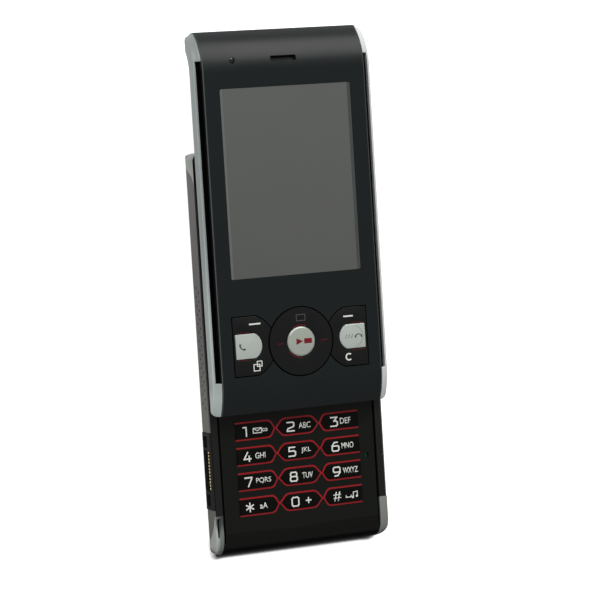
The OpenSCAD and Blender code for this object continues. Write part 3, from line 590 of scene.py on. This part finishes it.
# ---- Chin cap -----------------------------------------------------------
# A separate gloss-black strip, moulded to the curve of the front end, closes the tray under the
# keys. Painted shade darkens it towards the table.
chin_black = moulded("chin_black", (15, 16, 13), shade=(11, 12, 9), rough=0.3, grain=6000,
                     bump=0.04, specular=0.12)
painted_shading(chin_black, "Z", 0.00725, 0.0065, (0.05, 0.05, 0.05))
softened("bottom_cap", chin_black, 0.06, 1)

# ---- Side socket --------------------------------------------------------
# A flat socket with two latch holes in black nylon; twelve gilded springs
# lie in a row along its upper lip.
nylon_black = moulded("nylon_black", (26, 27, 26), rough=0.5, grain=4000, bump=0.1, specular=0.3)
gilt = moulded("gilt", (255, 232, 176), shade=(244, 208, 140), rough=0.35, mottle=0.5,
               mottle_scale=700, grain=9000, metal=0.1, specular=0.6)
softened("connector_shell", nylon_black, 0.05, 1)


# A solid whose shape is right as it is only takes its finish.
def dressed(finish, *wearers):
    for wearer in wearers:
        nodes[wearer].data.materials.clear()
        nodes[wearer].data.materials.append(finish)


dressed(gilt, "connector_contacts")

# ---- Volume rocker and power key ----------------------------------------
# Two small keys of grey moulded plastic, rounded all over, stand a fraction
# proud: the rocker on the right side, the power key on the top end.
key_grey = moulded("key_grey", (84, 84, 82), rough=0.38, grain=5200, bump=0.06, specular=0.3)
softened("volume_rocker", key_grey, 0.3, 3)
softened("power_key", key_grey, 0.25, 3)

# ---- Screen half: front cover -------------------------------------------
# One charcoal shell with a soft satin lacquer runs from the rolled lip above
# the keys to the curved top end, with openings for screen and keys.
cover_charcoal = moulded("cover_charcoal", (19, 24, 25), shade=(15, 20, 21), rough=0.34,
                         mottle=0.5, mottle_scale=40, grain=6500, bump=0.03, specular=0.22)
cover_side, painted_highlight_rim = 0.02136, 0.02115


def long_edge(e):
    return (all(abs(v.co.x) > cover_side for v in e.verts)
            and any(abs(f.normal.x) > 0.99 for f in e.link_faces)
            and any(f.normal.z > 0.12 and abs(f.normal.x) < 0.05 for f in e.link_faces))


cover = softened("front_cover", cover_charcoal, 0.26, 3, long_edge)
# The curved ends keep a clean sheen round the earpiece slot: the corners of
# their facets point straight away from the axis of each curve (y, z, radius).
curves = ((0.069, 0.0006, 0.013), (-0.0065, -0.0024, 0.016))
level, on_curve = 0.99999, 3e-5
sheen = [(0.0, 0.0, 0.0)] * len(cover.data.loops)
spots = [v.co for v in cover.data.vertices]
for f in cover.data.polygons:
    if f.normal.z > level:
        for i in f.loop_indices:
            sheen[i] = f.normal.copy()
    for y, z, radius in curves:
        if f.normal.z < level and all(
                abs(math.hypot(spots[v].y - y, spots[v].z - z) - radius) < on_curve
                for v in f.vertices):
            for i in f.loop_indices:
                spot = spots[cover.data.loops[i].vertex_index]
                sheen[i] = Vector((0, spot.y - y, spot.z - z)).normalized()
cover.data.normals_split_custom_set(sheen)
# Painted highlight: the rounded long edges take a paler charcoal.
cover_painted_highlight = moulded("cover_painted_highlight", (62, 68, 70), shade=(52, 58, 60), rough=0.34, grain=6500,
                     bump=0.03, specular=0.22)
cover.data.materials.append(cover_painted_highlight)
for f in cover.data.polygons:
    if abs(f.center.x) > painted_highlight_rim and 0.15 < f.normal.z < 0.99 and abs(f.normal.x) > 0.15:
        f.material_index = 1

# ---- Silver rails and their black inlays --------------------------------
# The rails are silver-lacquered mouldings; a gloss black strip is let into
# the bevel of each for most of its length.
inlay_black = moulded("inlay_black", (7, 7, 7), rough=0.3, grain=8000, bump=0.02,
                      specular=0.1)
rail_silver_painted_shading = moulded("rail_silver_painted_shading", (159, 167, 166), shade=(143, 151, 150), rough=0.42,
                      spread=0.1, mottle=0.3, mottle_scale=60, grain=9000, bump=0.03,
                      specular=0.4, metal=0.3)
# Painted shade darkens the left rail's silver towards the top end and painted light brightens it
# near the lower end; the right rail takes a lit copy of the silver.
painted_shading(rail_silver_painted_shading, "Y", 0.004, 0.034, (0.66, 0.67, 0.68))
painted_shading(rail_silver_painted_shading, "Y", -0.0065, -0.0105, (1.32, 1.33, 1.34))
rail_silver_painted_lit = moulded("rail_silver_painted_lit", (206, 210, 208), shade=(190, 194, 192), rough=0.42,
                      spread=0.1, mottle=0.3, mottle_scale=60, grain=9000, bump=0.03,
                      specular=0.4, metal=0.2)
softened("rail_left", rail_silver_painted_shading, 0.08)
softened("rail_right", rail_silver_painted_lit, 0.08)
softened("rail_inlays", inlay_black, 0, 1)

# ---- Screen -------------------------------------------------------------
# Hard-coated window over a display that is switched off: mid grey, a little lighter towards the
# top, with a painted highlight along the left edge and painted shade along the right edge.
window_grey, n, l = shader("window_grey")
out = n.new("ShaderNodeOutputMaterial")
surface = n.new("ShaderNodeBsdfPrincipled")
surface.inputs["Roughness"].default_value = 0.1
surface.inputs["Specular IOR Level"].default_value = 0.12
place, split = n.new("ShaderNodeTexCoord"), n.new("ShaderNodeSeparateXYZ")
cloud = n.new("ShaderNodeTexNoise")
cloud.inputs["Scale"].default_value = 30
window_foot, window_head, painted_highlight_edge, painted_shade_edge = 0.019, 0.065, -0.01665, 0.01635
along, tone, haze = ranged(n, window_foot, window_head), toned(n), toned(n, "MULTIPLY")
tone.inputs["A"].default_value = linear(84, 86, 85)
tone.inputs["B"].default_value = linear(90, 92, 90)
haze.inputs["Factor"].default_value = 0.12
l.new(place.outputs["Object"], split.inputs[0])
l.new(place.outputs["Object"], cloud.inputs["Vector"])
l.new(split.outputs["Y"], along.inputs["Value"])
l.new(along.outputs[0], tone.inputs["Factor"])
l.new(tone.outputs["Result"], haze.inputs["A"])
l.new(cloud.outputs["Fac"], haze.inputs["B"])
l.new(haze.outputs["Result"], surface.inputs["Base Color"])
l.new(surface.outputs[0], out.inputs["Surface"])
overlaid(window_grey, "X", (reckoned(n, "LESS_THAN", second=painted_highlight_edge),), "MIX",
         linear(96, 98, 97))
overlaid(window_grey, "X", (reckoned(n, "GREATER_THAN", second=painted_shade_edge),), "MIX",
         linear(66, 68, 68))
softened("display_window", window_grey, 0.03, 1)

# ---- Navigation cluster -------------------------------------------------
# A dished black ring tilts four ways round a silver centre key. On each side
# a black rocker carries two soft keys and a silver call or end key.
ring_black = moulded("ring_black", (15, 17, 16), shade=(11, 13, 12), rough=0.3, grain=7000,
                     bump=0.03, specular=0.22)
silver_key = moulded("silver_key", (170, 178, 173), shade=(152, 160, 155), rough=0.3,
                     mottle=0.4, mottle_scale=120, grain=9000, bump=0.02, specular=0.4, metal=0.1)
softened("nav_ring", ring_black, 0.12)
for side in ("left", "right"):
    softened("rocker_" + side, ring_black, 0.12)
centre_silver = moulded("centre_silver", (160, 167, 158), shade=(141, 148, 140), rough=0.25,
                        mottle=0.4, mottle_scale=120, grain=9000, bump=0.02, specular=0.5,
                        metal=0.2)
softened("centre_key", centre_silver, 0.08)
softened("call_key", silver_key, 0.3, 3)
softened("end_key", silver_key, 0.3, 3)

# ---- Marks and lights of the navigation keys ----------------------------
# Pale, dim and red inks are printed on the rockers, the ring and the silver
# keys, and thin red light slits are let in beside the silver keys.
nav_y, rocker_z, silver_z, ring_z = 2.3, 13.715, 13.895, 13.945
bm = bmesh.new()
stroke(bm, -13.3, 7.63, -10.7, 7.63, rocker_z, 0.38)
for x, y, h in ((-12.1, -3.1, 0.78), (-11.35, -2.2, 0.62)):
    frame_mark(bm, x - h, y - h, x + h, y + h, rocker_z, 0.22)
printed("legend_rocker_left", "rocker_left", bm, ink_white)
bm = bmesh.new()
stroke(bm, 11.85, 7.38, 14.05, 7.38, rocker_z, 0.38)
ring_mark(bm, 12.6, -2.75, rocker_z, 0.78, 0.36, 48, 312)
printed("legend_rocker_right", "rocker_right", bm, ink_white)

red_ink = moulded("red_ink", (112, 20, 34), shade=(90, 14, 26), rough=0.4, mottle_scale=900,
                  specular=0.2)
bm = bmesh.new()
play = [bm.verts.new((x, nav_y + y, ring_z)) for x, y in ((-1.35, -0.8), (0.45, 0), (-1.35, 0.8))]
bm.faces.new(play)
stroke(bm, 1.35, nav_y, 2.15, nav_y, ring_z, 1.25)
printed("legend_centre", "centre_key", bm, red_ink)

glow_red = moulded("glow_red", (84, 13, 24), shade=(52, 8, 15), rough=0.35, mottle=0.5,
                   mottle_scale=500, specular=0.25)
slit_off, slit_sunk, slit_thick = 3.36, 0.01, 0.03
for side, sign in (("left", -1), ("right", 1)):
    bm = bmesh.new()
    for low in (-1, 1):
        stroke(bm, sign * 13.6, nav_y + low * slit_off, sign * 16.9, nav_y + low * slit_off,
               rocker_z - slit_sunk, 0.16)
    printed("glow_" + side, "rocker_" + side, bm, glow_red, slit_thick)
bm = bmesh.new()
for a0, a1 in ((68, 122), (212, 268)):
    ring_mark(bm, 0, nav_y, ring_z, 4.05, 0.3, a0, a1, 12)
stroke(bm, -6.3, 2.15, -4.9, 2.15, ring_z, 0.24)
stroke(bm, 5.2, 2.15, 7.0, 2.15, ring_z, 0.24)
printed("glow_centre", "nav_ring", bm, glow_red)
ink_dim = moulded("ink_dim", (66, 70, 68), shade=(48, 52, 50), rough=0.5, mottle_scale=900,
                  grain=9000, specular=0.2)
bm = bmesh.new()
frame_mark(bm, -1.0, 7.4, 1.3, 8.9, ring_z, 0.22)
printed("legend_ring", "nav_ring", bm, ink_dim)
bm = bmesh.new()
ring_mark(bm, -15.0, 2.9, silver_z, 1.35, 0.3, 190, 262, 8)
disc(bm, -16.2, 2.75, silver_z, 0.28, 12)
disc(bm, -15.1, 1.62, silver_z, 0.28, 12)
printed("legend_call", "call_key", bm, ink_dim)
ink_pale = moulded("ink_pale", (134, 140, 134), shade=(118, 124, 118), rough=0.5,
                   mottle_scale=900, grain=9000, specular=0.2)
bm = bmesh.new()
ring_mark(bm, 13.9, nav_y, silver_z, 2.7, 0.14, -75, 75, 20)
for x in (11.9, 12.7, 13.5):
    stroke(bm, x, 1.95, x + 0.3, 2.75, silver_z, 0.22)
printed("legend_end", "end_key", bm, ink_pale)
bm = bmesh.new()
ring_mark(bm, 15.4, 1.6, silver_z, 1.1, 0.26, 35, 145, 10)
disc(bm, 14.6, 2.1, silver_z, 0.24, 12)
disc(bm, 16.2, 2.1, silver_z, 0.24, 12)
printed("legend_hang_up", "end_key", bm, ink_dim)

# ---- Earpiece mesh and light sensor -------------------------------------
# A dark woven steel mesh is glued behind the slot; the sensor looks out
# through a tiny moulded dome beside it.
mesh_dark = moulded("mesh_dark", (5, 5, 5), shade=(1, 1, 1), rough=0.5, mottle=0.9,
                    mottle_scale=2600, grain=3000, bump=0.6, metal=0.5, specular=0.4)
softened("earpiece", mesh_dark, 0, 1)
sensor_glass = moulded("sensor_glass", (9, 10, 12), shade=(5, 5, 7), rough=0.06, mottle=0.5,
                       mottle_scale=400, specular=0.5, coat=0.4)
lens_radius, lens_rise, lens_place = 0.00069, 0.3, (-0.0135, 0.072, 0.0129)
bm = bmesh.new()
bmesh.ops.create_uvsphere(bm, u_segments=24, v_segments=12, radius=lens_radius)
bmesh.ops.scale(bm, vec=(1, 1, lens_rise), verts=bm.verts)
bmesh.ops.translate(bm, verts=bm.verts, vec=lens_place)
for f in bm.faces:
    f.smooth = True
sensor_mesh = bpy.data.meshes.new("sensor_lens")
bm.to_mesh(sensor_mesh)
bm.free()
fresh("sensor_lens", "slider", sensor_mesh, sensor_glass)

# ---- Mat, cans and camera window ----------------------------------------
# A moulded rubber mat with its bar lies under the navigation keys. Battery and
# display sit in drawn metal cans, and the camera looks out of a dark window.
rubber_grey = moulded("rubber_grey", (52, 52, 53), rough=0.65, grain=3000, bump=0.15,
                      specular=0.3)
can_grey = moulded("can_grey", (142, 146, 152), shade=(120, 124, 130), rough=0.4,
                   mottle_scale=150, grain=4200, bump=0.08, metal=0.5, specular=0.4)
lens_dark = moulded("lens_dark", (12, 13, 18), shade=(8, 8, 12), rough=0.08, mottle=0.6,
                    mottle_scale=150, specular=0.5, coat=0.5)
dressed(rubber_grey, "nav_keymat", "nav_bar")
dressed(can_grey, "battery", "display_module")
dressed(lens_dark, "camera_window")

# ---- Sliding mechanism, boards and small blocks -------------------------
# Bent spring-steel sheets, a wire spring and an amber flat cable link the two
# halves. They, the frame, the green boards, the tinned cans and the black
# blocks keep the plain finish that their solids are packed with.
packed = bpy.data.materials
dressed(packed["spring_steel"], "base_screws", "slider_screws")
dressed(packed["speaker_black"], "camera_module")
